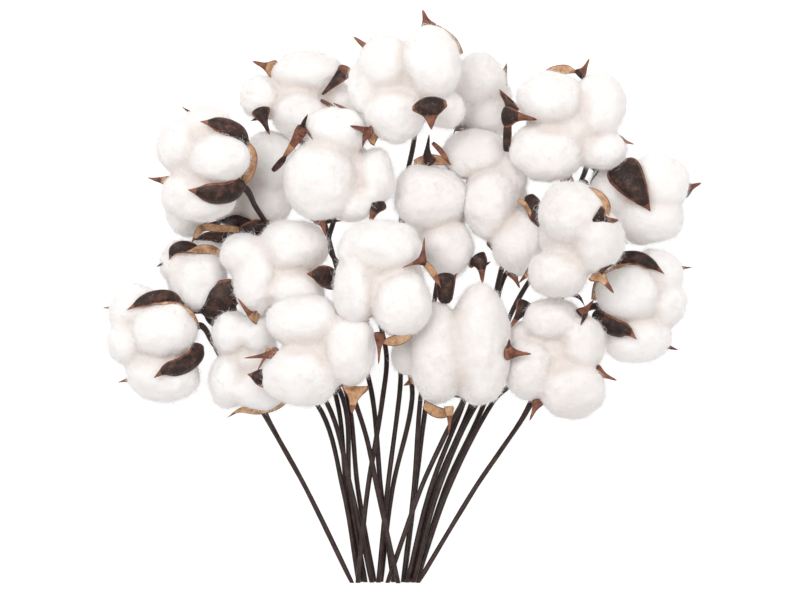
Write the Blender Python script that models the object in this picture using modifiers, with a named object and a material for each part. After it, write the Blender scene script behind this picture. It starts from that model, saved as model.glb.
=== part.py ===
"""A bunch of twenty cotton picks lying on a flat surface, in metres, +Z up.

The cut ends point to -Y and the bolls fan out to +Y. Each pick is a stem, a dry burr
with pointed valves, and the open cotton boll that the burr holds.
"""

import math

import bmesh
import bpy
from mathutils import Vector
from mathutils.bvhtree import BVHTree

MM = 0.001

STEM_RADIUS = 1.5
STEM_SIDES_LEVEL = 1
STEM_END_Y = -171.5
STEM_STEPS_PER_SPAN = 3

COTTON_LONGITUDES = 14
COTTON_LATITUDES = 9
COTTON_SIZE = 0.93
LOCK_BLEND = 9.0
LEAST_REACH = 9.0

BURR_GAP = 0.5
PUSH_STEP = 0.4
MOST_PUSHES = 40
BURR_THICKNESS = 1.2
RING_RADIUS = 5.5
RING_HALF_ANGLE = 0.5
VALVE_SHARE = (0.22, 0.45, 0.68, 0.87)
VALVE_HALF_WIDTH = (5.6, 6.4, 5.0, 2.2)
TIP_HALF_WIDTH = 0.5
LEAVING_SHARE = 0.62
STEM_GAP = 0.5

# Every pick: where the middle of its boll is, the direction of its burr's foot, its locks
# (middle, half sizes), its valves (a point the valve passes, and its tip), and the stem's
# route down to the cut end. Lock, valve and foot values are from the middle of the boll.
PICKS = {
    "01": {
        "at": (-116, 83, 62),
        "foot": (23, -16, -3),
        "locks": [
            ((1, 17, -4), (17, 16, 16)),
            ((8, 0, 10), (19, 17, 18)),
            ((-14, 8, 0), (15, 16, 17)),
            ((-4, -20, 2), (23, 17, 17)),
            ((0, -2, -10), (19, 19, 19)),
        ],
        "valves": [
            ((24, 15, 4), (-3, 25, 15)),
            ((9, -21, 16), (-11, -21, 21)),
            ((4, 18, -20), (-17, 33, -6)),
            ((-6, -14, -20), (-33, -10, -4)),
        ],
        "route": [(-86, 56, 44), (-77, 41, 28), (-70, 22, 10), (-56, -18, 2), (-38, -60, 1.6), (-32, -115, 1.6)],
        "end": (-23, 1.6),
    },
    "02": {
        "at": (-101, 66, 21.7),
        "foot": (5, -27, -2),
        "locks": [
            ((-26, -13, -4), (14, 16, 15)),
            ((-13, 18, -6), (16, 16, 14)),
            ((23, 17, 0), (17, 20, 17)),
            ((20, -8, -2), (17, 15, 15)),
            ((0, 0, -6), (20, 20, 14)),
        ],
        "valves": [
            ((-13, -23, 10), (-24, -33, 18)),
            ((23, -22, -4), (36, -20, -2)),
            ((-34, 4, -4), (-32, 14, -4)),
            ((6, 6, -19), (6, 36, -8)),
        ],
        "route": [(-90, 26, 8), (-76, 0, 5), (-58, -28, 4.9), (-34, -60, 4.9), (-30, -115, 4.9)],
        "end": (-20.5, 4.9),
    },
    "03": {
        "at": (-62, 123, 25.9),
        "foot": (3, -24, -13),
        "locks": [
            ((7, 14, 2), (23, 13, 16)),
            ((-21, -1, 0), (13, 14, 15)),
            ((3, -11, 4), (17, 15, 17)),
            ((26, -2, -4), (10, 10, 12)),
            ((0, 0, -8), (20, 18, 20)),
        ],
        "valves": [
            ((-20, 12, -8), (-24, 20, 6)),
            ((19, 2, 10), (33, 17, 5)),
            ((-11, -15, 8), (-16, -22, 12)),
            ((16, -16, -14), (24, -22, -4)),
        ],
        "route": [(-54, 84, 7), (-46, 50, 5), (-38, 20, 5), (-26, -20, 5), (-16, -60, 4.9), (-11, -115, 4.9)],
        "end": (-3.5, 4.9),
    },
    "04": {
        "at": (-37, 78, 60),
        "foot": (0, -14, -26),
        "locks": [
            ((-10, -7, 6), (22, 24, 20)),
            ((0, 22, 4), (19, 15, 16)),
            ((23, -4, 0), (12, 17, 15)),
            ((9, -20, 0), (13, 12, 14)),
            ((0, 0, -8), (20, 20, 20)),
        ],
        "valves": [
            ((-31, 8, 4), (-18, 29, 15)),
            ((24, 16, 4), (11, 27, 20)),
            ((-14, -28, 0), (-6, -37, 6)),
            ((22, -21, -2), (23, -30, 8)),
        ],
        "route": [(-39, 50, 22), (-42, 30, 13), (-20, 5, 11.5), (-8, -30, 11.5), (-10, -60, 11.5), (-19, -115, 11.5)],
        "end": (-25, 11.5),
    },
    "05": {
        "at": (5, 129, 65),
        "foot": (4, -16, -28),
        "locks": [
            ((14, 11, 12), (18, 22, 18)),
            ((-13, 10, 6), (16, 18, 17)),
            ((-22, -3, 0), (13, 18, 15)),
            ((-7, -19, 8), (18, 17, 17)),
            ((22, -16, 2), (12, 12, 12)),
            ((0, 0, -8), (22, 22, 22)),
        ],
        "valves": [
            ((29, 20, 2), (9, 40, 6)),
            ((-24, 16, -6), (-32, 27, 4)),
            ((10, -28, 12), (14, -29, 26)),
            ((-30, -8, -12), (-36, -8, -6)),
        ],
        "route": [(9, 96, 17), (3, 66, 3), (0, 20, 1.6), (4, -30, 1.6), (8, -60, 1.6), (-4, -115, 1.6)],
        "end": (-11, 1.6),
    },
    "06": {
        "at": (49, 121, 24.3),
        "foot": (0, -18, -12),
        "locks": [
            ((-1, 10, 2), (17, 17, 17)),
            ((4, -10, 0), (15, 14, 15)),
            ((-12, -2, -2), (14, 15, 15)),
            ((0, 0, -6), (18, 18, 18)),
        ],
        "valves": [
            ((18, -4, 2), (16, 6, 12)),
            ((-18, 6, -10), (-22, 16, -2)),
            ((-14, -16, 4), (-16, -22, 10)),
            ((14, 12, -14), (16, 24, -6)),
        ],
        "route": [(46, 88, 4), (38, 50, 1.6), (28, 0, 1.6), (17, -60, 1.6), (10, -115, 1.6)],
        "end": (3, 1.6),
    },
    "07": {
        "at": (101, 104, 50),
        "foot": (3, -20, -24),
        "locks": [
            ((-10, 16, 6), (20, 16, 18)),
            ((19, 12, 2), (15, 21, 17)),
            ((-12, -16, 4), (22, 18, 18)),
            ((19, -14, -2), (17, 13, 15)),
            ((0, 0, -8), (24, 22, 22)),
        ],
        "valves": [
            ((-4, 33, -4), (12, 39, 4)),
            ((-32, 6, 6), (-19, 3, 24)),
            ((29, 2, -14), (39, -10, 0)),
            ((0, -30, -6), (-1, -36, 4)),
        ],
        "route": [(101, 70, 8), (84, 44, 5), (64, 14, 4.9), (58, -8, 4.9), (45, -60, 4.9), (22, -115, 4.9)],
        "end": (6.5, 4.9),
    },
    "08": {
        "at": (146, 62, 29.5),
        "foot": (-25, 16, -4),
        "locks": [
            ((10, 8, 4), (18, 18, 18)),
            ((4, -11, 2), (22, 18, 18)),
            ((-16, 4, 0), (15, 17, 16)),
            ((0, 0, -8), (20, 18, 20)),
        ],
        "valves": [
            ((-9, 8, 19), (3, -9, 26)),
            ((10, 24, 6), (33, 10, 4)),
            ((-16, -16, 2), (-4, -31, 2)),
            ((-4, 4, -26), (20, -6, -18)),
        ],
        "route": [(112, 76, 14), (106, 60, 5), (94, 32, 1.6), (77, 8, 1.6), (66, -14, 1.6), (53, -60, 1.6), (28, -115, 1.6)],
        "end": (10.5, 1.6),
    },
    "09": {
        "at": (22, 51, 38),
        "foot": (4, -18, -20),
        "locks": [
            ((-3, 11, 4), (22, 20, 20)),
            ((7, -20, 0), (16, 19, 17)),
            ((0, -2, -8), (18, 20, 18)),
        ],
        "valves": [
            ((0, 30, 0), (-4, 41, 14)),
            ((20, -26, -4), (26, -38, 4)),
            ((-22, -8, -8), (-28, -12, 0)),
        ],
        "route": [(25, 20, 9), (20, -10, 5), (13, -60, 4.9), (9, -115, 4.9)],
        "end": (2.5, 4.9),
    },
    "10": {
        "at": (59, 60, 35),
        "foot": (4, -28, -16),
        "locks": [
            ((-14, 28, 2), (20, 15, 17)),
            ((-4, -2, 6), (17, 22, 19)),
            ((15, -28, 4), (17, 16, 17)),
            ((5, 15, 0), (14, 16, 15)),
            ((2, -4, -8), (18, 24, 18)),
        ],
        "valves": [
            ((16, 12, -4), (10, 26, 2)),
            ((16, -6, 8), (19, -16, 14)),
            ((8, -42, -6), (12, -51, 2)),
        ],
        "route": [(61, 14, 13), (54, -14, 8.4), (40, -60, 8.2), (19, -115, 8.2)],
        "end": (5, 8.2),
    },
    "11": {
        "at": (103, 38, 69),
        "foot": (0, -16, -26),
        "locks": [
            ((-3, 17, 4), (21, 17, 18)),
            ((14, -2, 4), (16, 20, 18)),
            ((-8, -22, 0), (19, 15, 16)),
            ((-13, -2, 2), (15, 16, 16)),
            ((0, 0, -8), (20, 20, 20)),
        ],
        "valves": [
            ((21, 21, 2), (27, 12, 14)),
            ((-26, 14, 0), (-17, 7, 19)),
            ((16, -24, -2), (23, -32, 6)),
            ((-26, -22, -6), (-32, -28, 0)),
        ],
        "route": [(101, 8, 20), (90, -16, 9.5), (70, -42, 8.2), (49, -60, 8.2), (24, -115, 8.2)],
        "end": (8.8, 8.2),
    },
    "12": {
        "at": (-123, 13, 24.7),
        "foot": (7, -20, -4),
        "locks": [
            ((2, -1, 4), (18, 19, 18)),
            ((-10, 9, 0), (12, 14, 14)),
            ((7, 14, -2), (14, 12, 13)),
            ((0, 0, -6), (17, 17, 17)),
        ],
        "valves": [
            ((12, 14, 12), (-14, 13, 14)),
            ((-15, -2, -15), (-22, 9, 2)),
            ((20, -14, 6), (30, -11, 8)),
            ((8, 4, -22), (6, 22, -12)),
        ],
        "route": [(-106, -20, 12), (-86, -36, 8.6), (-64, -48, 8.2), (-44, -62, 8.2), (-29, -115, 8.2)],
        "end": (-16.5, 8.2),
    },
    "13": {
        "at": (-148, -25, 28),
        "foot": (28, 9, -3),
        "locks": [
            ((-10, 18, -2), (17, 17, 16)),
            ((7, 7, 10), (20, 17, 18)),
            ((-14, 0, 0), (14, 15, 16)),
            ((6, -19, 2), (23, 17, 17)),
            ((0, -2, -10), (19, 19, 19)),
        ],
        "valves": [
            ((14, 26, 6), (-13, 21, 15)),
            ((20, -14, 14), (2, -21, 20)),
            ((-4, 20, -18), (-30, 20, -6)),
            ((4, -16, -22), (-20, -24, -8)),
        ],
        "route": [(-112, -27, 14), (-98, -40, 6), (-76, -52, 4.9), (-50, -63, 4.9), (-34, -115, 4.9)],
        "end": (-24.5, 4.9),
    },
    "14": {
        "at": (-92, -36, 36),
        "foot": (10, -29, -6),
        "locks": [
            ((-8, 16, 2), (12, 14, 14)),
            ((7, 16, 4), (12, 12, 14)),
            ((-10, -13, 2), (12, 16, 15)),
            ((8, -18, 6), (17, 13, 15)),
            ((2, 0, -6), (16, 20, 16)),
        ],
        "valves": [
            ((2, 6, -24), (-5, 35, 10)),
            ((-6, -31, 2), (-10, -36, 5)),
            ((-20, 2, -8), (-26, 10, 0)),
            ((20, -2, -4), (24, 6, 4)),
        ],
        "route": [(-74, -82, 18), (-56, -115, 11.7)],
        "end": (-28.5, 11.5),
    },
    "15": {
        "at": (-46, -30, 62),
        "foot": (16, -22, -20),
        "locks": [
            ((-12, -15, 4), (23, 18, 18)),
            ((17, 1, 6), (16, 22, 18)),
            ((-10, 17, 2), (23, 16, 17)),
            ((0, 0, -8), (21, 21, 21)),
        ],
        "valves": [
            ((-34, 1, 2), (-44, -4, 7)),
            ((-28, -20, 0), (-38, -24, 5)),
            ((18, -26, -2), (18, -35, 8)),
            ((26, 12, -14), (28, 20, -8)),
        ],
        "route": [(-25, -66, 20), (-19, -86, 15.2), (-13, -115, 14.8)],
        "end": (-0.5, 14.8),
    },
    "16": {
        "at": (-76, 18, 43),
        "foot": (10, -14, -25),
        "locks": [
            ((-18, 10, 0), (13, 13, 14)),
            ((-10, -4, 4), (13, 24, 16)),
            ((13, 14, 4), (21, 16, 17)),
            ((13, -13, 4), (18, 14, 16)),
            ((0, 0, -8), (19, 19, 19)),
        ],
        "valves": [
            ((33, -3, 2), (22, -2, 20)),
            ((2, -26, -4), (2, -31, 10)),
            ((-14, 14, -18), (-20, 22, -14)),
        ],
        "route": [(-59, -12, 10), (-41, -38, 3), (-31, -60, 1.6), (-25, -115, 1.6)],
        "end": (-15, 1.6),
    },
    "17": {
        "at": (-7, 9, 72),
        "foot": (6, -18, -26),
        "locks": [
            ((-4, 21, 4), (25, 17, 18)),
            ((-18, -2, 2), (14, 22, 17)),
            ((9, -11, 8), (18, 20, 18)),
            ((0, 0, -8), (22, 22, 22)),
        ],
        "valves": [
            ((27, 10, 2), (22, 26, 14)),
            ((0, -33, 2), (-4, -46, 8)),
            ((-24, 8, -22), (-30, 14, -16)),
            ((18, 14, -22), (22, 22, -18)),
        ],
        "route": [(0, -26, 22), (1, -45, 10), (0, -60, 8.2), (-7, -115, 8.2)],
        "end": (-12.5, 8.2),
    },
    "18": {
        "at": (37, -27, 53),
        "foot": (2, -28, -18),
        "locks": [
            ((-14, -5, 4), (16, 31, 18)),
            ((13, 0, 4), (17, 36, 19)),
            ((-28, -5, -8), (14, 14, 14)),
            ((0, -4, -8), (20, 26, 18)),
        ],
        "valves": [
            ((-4, 32, -8), (-8, 40, 4)),
            ((-8, -42, 0), (-7, -51, 8)),
            ((25, -4, 18), (38, -5, 21)),
            ((-26, -22, -14), (-34, -24, -8)),
        ],
        "route": [(34, -70, 15), (27, -84, 11.8), (13, -115, 11.5)],
        "end": (-7, 11.5),
    },
    "19": {
        "at": (145, -4, 27.7),
        "foot": (-28, 0, -3),
        "locks": [
            ((10, 18, -2), (17, 17, 16)),
            ((-7, 8, 10), (20, 17, 18)),
            ((14, 2, 0), (14, 15, 16)),
            ((-2, -18, 2), (21, 16, 17)),
            ((0, -2, -10), (19, 19, 19)),
        ],
        "valves": [
            ((-12, 27, 6), (12, 22, 15)),
            ((-21, -14, 13), (-4, -20, 20)),
            ((4, 20, -18), (29, 22, -6)),
            ((-4, -16, -22), (20, -23, -8)),
        ],
        "route": [(107, -9, 17), (92, -24, 7), (72, -48, 4.9), (57, -62, 4.9), (30, -115, 4.9)],
        "end": (10.5, 4.9),
    },
    "20": {
        "at": (93, -33, 45),
        "foot": (-11, -24, -16),
        "locks": [
            ((-2, 21, 4), (17, 13, 16)),
            ((16, 7, 4), (14, 18, 16)),
            ((-14, -8, 4), (16, 19, 17)),
            ((-22, 11, -4), (9, 9, 11)),
            ((11, -20, 4), (20, 18, 18)),
            ((0, 0, -8), (20, 20, 20)),
        ],
        "valves": [
            ((20, 23, -2), (22, 32, 12)),
            ((28, -12, -6), (36, -14, 8)),
            ((-6, -30, -2), (-14, -38, 8)),
            ((-22, 22, -4), (-19, 18, 12)),
        ],
        "route": [(74, -72, 28), (61, -92, 15), (45.5, -115, 11.7)],
        "end": (11.5, 11.5),
    },
}


def clear_scene():
    for found in list(bpy.data.objects):
        bpy.data.objects.remove(found, do_unlink=True)


def new_collection(name):
    made = bpy.data.collections.new(name)
    bpy.context.scene.collection.children.link(made)
    return made


def material(name, colour, roughness):
    made = bpy.data.materials.new(name)
    made.use_nodes = True
    shader = made.node_tree.nodes["Principled BSDF"]
    shader.inputs["Base Color"].default_value = (*colour, 1.0)
    shader.inputs["Roughness"].default_value = roughness
    return made


def lock_reach(locks, direction):
    """How far the joined locks reach from the middle of the boll along a direction."""
    total = LEAST_REACH**LOCK_BLEND
    for middle, halves in locks:
        squared = sum((direction[i] / halves[i]) ** 2 for i in range(3))
        along = sum(direction[i] * middle[i] / halves[i] ** 2 for i in range(3))
        offset = sum((middle[i] / halves[i]) ** 2 for i in range(3)) - 1
        inside = along**2 - squared * offset
        if inside > 0:
            far = (along + math.sqrt(inside)) / squared
            if far > 0:
                total += far**LOCK_BLEND
    return total ** (1 / LOCK_BLEND)


def cotton_shape(pick):
    """One closed shape for all the locks of a boll, a ball drawn out to where the locks reach."""
    shape = bmesh.new()
    bmesh.ops.create_uvsphere(
        shape, u_segments=COTTON_LONGITUDES, v_segments=COTTON_LATITUDES, radius=1
    )
    for vertex in shape.verts:
        direction = vertex.co.normalized()
        vertex.co = direction * COTTON_SIZE * lock_reach(pick["locks"], direction) * MM
    return shape


def push_clear(shape, inner):
    """Moves the faces of an open shape outward until none meets the shape inside it."""
    inner_tree = BVHTree.FromBMesh(inner)
    for _ in range(MOST_PUSHES):
        met = {pair[0] for pair in BVHTree.FromBMesh(shape).overlap(inner_tree)}
        if not met:
            break
        shape.faces.ensure_lookup_table()
        for vertex in {vertex for index in met for vertex in shape.faces[index].verts}:
            vertex.co += vertex.co.normalized() * PUSH_STEP * MM
    for vertex in shape.verts:
        vertex.co += vertex.co.normalized() * PUSH_STEP * MM


def finished(name, shape, pick, fill, collection):
    mesh = bpy.data.meshes.new(name)
    shape.to_mesh(mesh)
    shape.free()
    mesh.materials.append(fill)
    made = bpy.data.objects.new(name, mesh)
    made.location = Vector(pick["at"]) * MM
    collection.objects.link(made)
    return made


def on_cotton(locks, direction):
    direction = direction.normalized()
    return direction * (lock_reach(locks, direction) + BURR_GAP)


def valve_row(locks, ring, past, tip, share, half_width):
    """Left, middle and right of a valve at one share of the way from the ring to its tip."""
    start, through, last = ring.normalized(), past.normalized(), tip.normalized()
    pull = 2 * through - 0.5 * start - 0.5 * last
    rest = 1 - share
    direction = rest**2 * start + 2 * share * rest * pull + share**2 * last
    heading = 2 * rest * (pull - start) + 2 * share * (last - pull)
    direction.normalize()
    side = direction.cross(heading).normalized()
    middle = on_cotton(locks, direction)
    points = [on_cotton(locks, middle + side * half_width * k) for k in (-1, 0, 1)]
    if share > LEAVING_SHARE:
        lift = ((share - LEAVING_SHARE) / (1 - LEAVING_SHARE)) ** 1.5
        longer = middle.length * (1 - lift) + tip.length * lift - middle.length
        points = [p + direction * max(longer, 0) for p in points]
    return points


def burr(name, pick, inner, fill, collection):
    """A thin cup at the foot of the boll with one pointed valve for each gap between locks."""
    locks = pick["locks"]
    foot = Vector(pick["foot"]).normalized()
    across = foot.orthogonal().normalized()
    beside = foot.cross(across)
    foot_reach = lock_reach(locks, foot) + BURR_GAP

    def turn_of(vector):
        return math.atan2(vector.dot(beside), vector.dot(across))

    valves = [(Vector(past), Vector(tip)) for past, tip in pick["valves"]]
    valves.sort(key=lambda valve: turn_of(valve[0]))
    step = 2 * math.pi / len(valves)
    offsets = [turn_of(past) - step * k for k, (past, tip) in enumerate(valves)]
    start = math.atan2(sum(map(math.sin, offsets)), sum(map(math.cos, offsets)))

    def ring_point(turn):
        spread = (across * math.cos(turn) + beside * math.sin(turn)) * RING_RADIUS
        return on_cotton(locks, foot * foot_reach + spread)

    shape = bmesh.new()
    hub = shape.verts.new(foot * foot_reach * MM)
    ring = []
    for k, (past, tip) in enumerate(valves):
        turn = start + step * k
        points = [ring_point(turn + d) for d in (-RING_HALF_ANGLE, 0, RING_HALF_ANGLE)]
        rows = [[shape.verts.new(p * MM) for p in points]]
        for share, half_width in zip(VALVE_SHARE, VALVE_HALF_WIDTH):
            row = valve_row(locks, points[1], past, tip, share, half_width)
            rows.append([shape.verts.new(p * MM) for p in row])
        side = (rows[-1][2].co - rows[-1][0].co).normalized() * TIP_HALF_WIDTH
        rows.append([shape.verts.new(tip * MM - side * MM), shape.verts.new(tip * MM + side * MM)])
        for lower, upper in zip(rows[:-2], rows[1:-1]):
            shape.faces.new((lower[0], lower[1], upper[1], upper[0]))
            shape.faces.new((lower[1], lower[2], upper[2], upper[1]))
        last = rows[-2]
        shape.faces.new((last[0], last[1], rows[-1][0]))
        shape.faces.new((last[1], rows[-1][1], rows[-1][0]))
        shape.faces.new((last[1], last[2], rows[-1][1]))
        ring += rows[0]
    for first, second in zip(ring, ring[1:] + ring[:1]):
        shape.faces.new((hub, first, second))
    push_clear(shape, inner)
    bmesh.ops.recalc_face_normals(shape, faces=shape.faces)
    shape.normal_update()
    if sum(face.normal.dot(foot) for face in hub.link_faces) < 0:
        bmesh.ops.reverse_faces(shape, faces=shape.faces)
    pick["foot_reach"] = max(vertex.co.dot(foot) for vertex in [hub, *ring]) / MM
    made = finished(name, shape, pick, fill, collection)
    thickness = made.modifiers.new("Thickness", "SOLIDIFY")
    thickness.thickness = BURR_THICKNESS * MM
    thickness.offset = 1.0
    return made


def smooth_route(points):
    """Points of a curve that passes through every given point."""
    padded = [2 * points[0] - points[1], *points, 2 * points[-1] - points[-2]]
    found = [points[0]]
    for a, b, c, d in zip(padded, padded[1:], padded[2:], padded[3:]):
        span = (c - b).length
        into = (c - a) * span / max((c - a).length, 1e-6)
        out = (d - b) * span / max((d - b).length, 1e-6)
        for step in range(1, STEM_STEPS_PER_SPAN + 1):
            t = step / STEM_STEPS_PER_SPAN
            found.append(
                (2 * t**3 - 3 * t**2 + 1) * b
                + (t**3 - 2 * t**2 + t) * into
                + (3 * t**2 - 2 * t**3) * c
                + (t**3 - t**2) * out
            )
    return found


def stem(name, pick, fill, collection):
    """A round wire from just below the burr's foot to the cut end."""
    at = Vector(pick["at"])
    foot = Vector(pick["foot"]).normalized()
    away = pick["foot_reach"] + BURR_THICKNESS + STEM_GAP
    end_x, end_z = pick["end"]
    points = [at + foot * away, at + foot * (away + 5)]
    points += [Vector(point) for point in pick["route"]]
    points.append(Vector((end_x, STEM_END_Y, end_z)))
    curve = bpy.data.curves.new(name, "CURVE")
    curve.dimensions = "3D"
    curve.bevel_depth = STEM_RADIUS * MM
    curve.bevel_resolution = STEM_SIDES_LEVEL
    curve.use_fill_caps = True
    route = smooth_route(points)
    spline = curve.splines.new("POLY")
    spline.points.add(len(route) - 1)
    for target, point in zip(spline.points, route):
        target.co = (*(point * MM), 1.0)
    curve.materials.append(fill)
    made = bpy.data.objects.new(name, curve)
    collection.objects.link(made)
    return made


def centre_on_floor(parts):
    """Moves everything so that the whole stands on z = 0 with its box centred on the origin."""
    bpy.context.view_layer.update()
    graph = bpy.context.evaluated_depsgraph_get()
    low = Vector((math.inf,) * 3)
    high = Vector((-math.inf,) * 3)
    for part in parts:
        evaluated = part.evaluated_get(graph)
        mesh = evaluated.to_mesh()
        for vertex in mesh.vertices:
            point = evaluated.matrix_world @ vertex.co
            low = Vector(map(min, low, point))
            high = Vector(map(max, high, point))
        evaluated.to_mesh_clear()
    move = Vector((-(low.x + high.x) / 2, -(low.y + high.y) / 2, -low.z))
    for part in parts:
        part.location += move


def main():
    clear_scene()
    bunch = new_collection("cotton_stem_bunch")
    fluff = material("cotton_fibre", (0.93, 0.91, 0.89), 1.0)
    husk = material("dry_burr", (0.12, 0.06, 0.04), 0.6)
    bark = material("stem_brown", (0.05, 0.025, 0.02), 0.6)
    parts = []
    for number, pick in PICKS.items():
        inner = cotton_shape(pick)
        parts.append(burr(f"burr_{number}", pick, inner, husk, bunch))
        parts.append(finished(f"cotton_{number}", inner, pick, fluff, bunch))
        parts.append(stem(f"stem_{number}", pick, bark, bunch))
    centre_on_floor(parts)


main()
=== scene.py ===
"""The looks of the cotton stem bunch: fluffy bolls, dry burrs and brown stems on a pale floor.

Lengths in the tables are millimetres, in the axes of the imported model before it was
centred: +X to the right, +Y from the cut ends to the bolls, +Z up.
"""

import math

import bmesh
import bpy
import numpy as np
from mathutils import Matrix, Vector


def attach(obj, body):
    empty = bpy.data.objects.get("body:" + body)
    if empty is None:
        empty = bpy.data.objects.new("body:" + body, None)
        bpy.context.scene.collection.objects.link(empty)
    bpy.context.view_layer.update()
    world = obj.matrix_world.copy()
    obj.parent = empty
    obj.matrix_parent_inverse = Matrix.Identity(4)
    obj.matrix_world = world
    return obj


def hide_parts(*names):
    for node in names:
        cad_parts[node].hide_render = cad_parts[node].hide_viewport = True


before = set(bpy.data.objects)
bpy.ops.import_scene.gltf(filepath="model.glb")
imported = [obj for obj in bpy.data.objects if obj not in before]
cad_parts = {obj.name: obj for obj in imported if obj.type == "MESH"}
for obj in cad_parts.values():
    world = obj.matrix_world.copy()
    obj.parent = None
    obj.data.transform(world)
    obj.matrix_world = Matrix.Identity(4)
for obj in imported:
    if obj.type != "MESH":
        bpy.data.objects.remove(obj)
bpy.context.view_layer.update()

MM = 0.001
CENTRING = np.array((-0.55, 0.877, 0.215))

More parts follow.
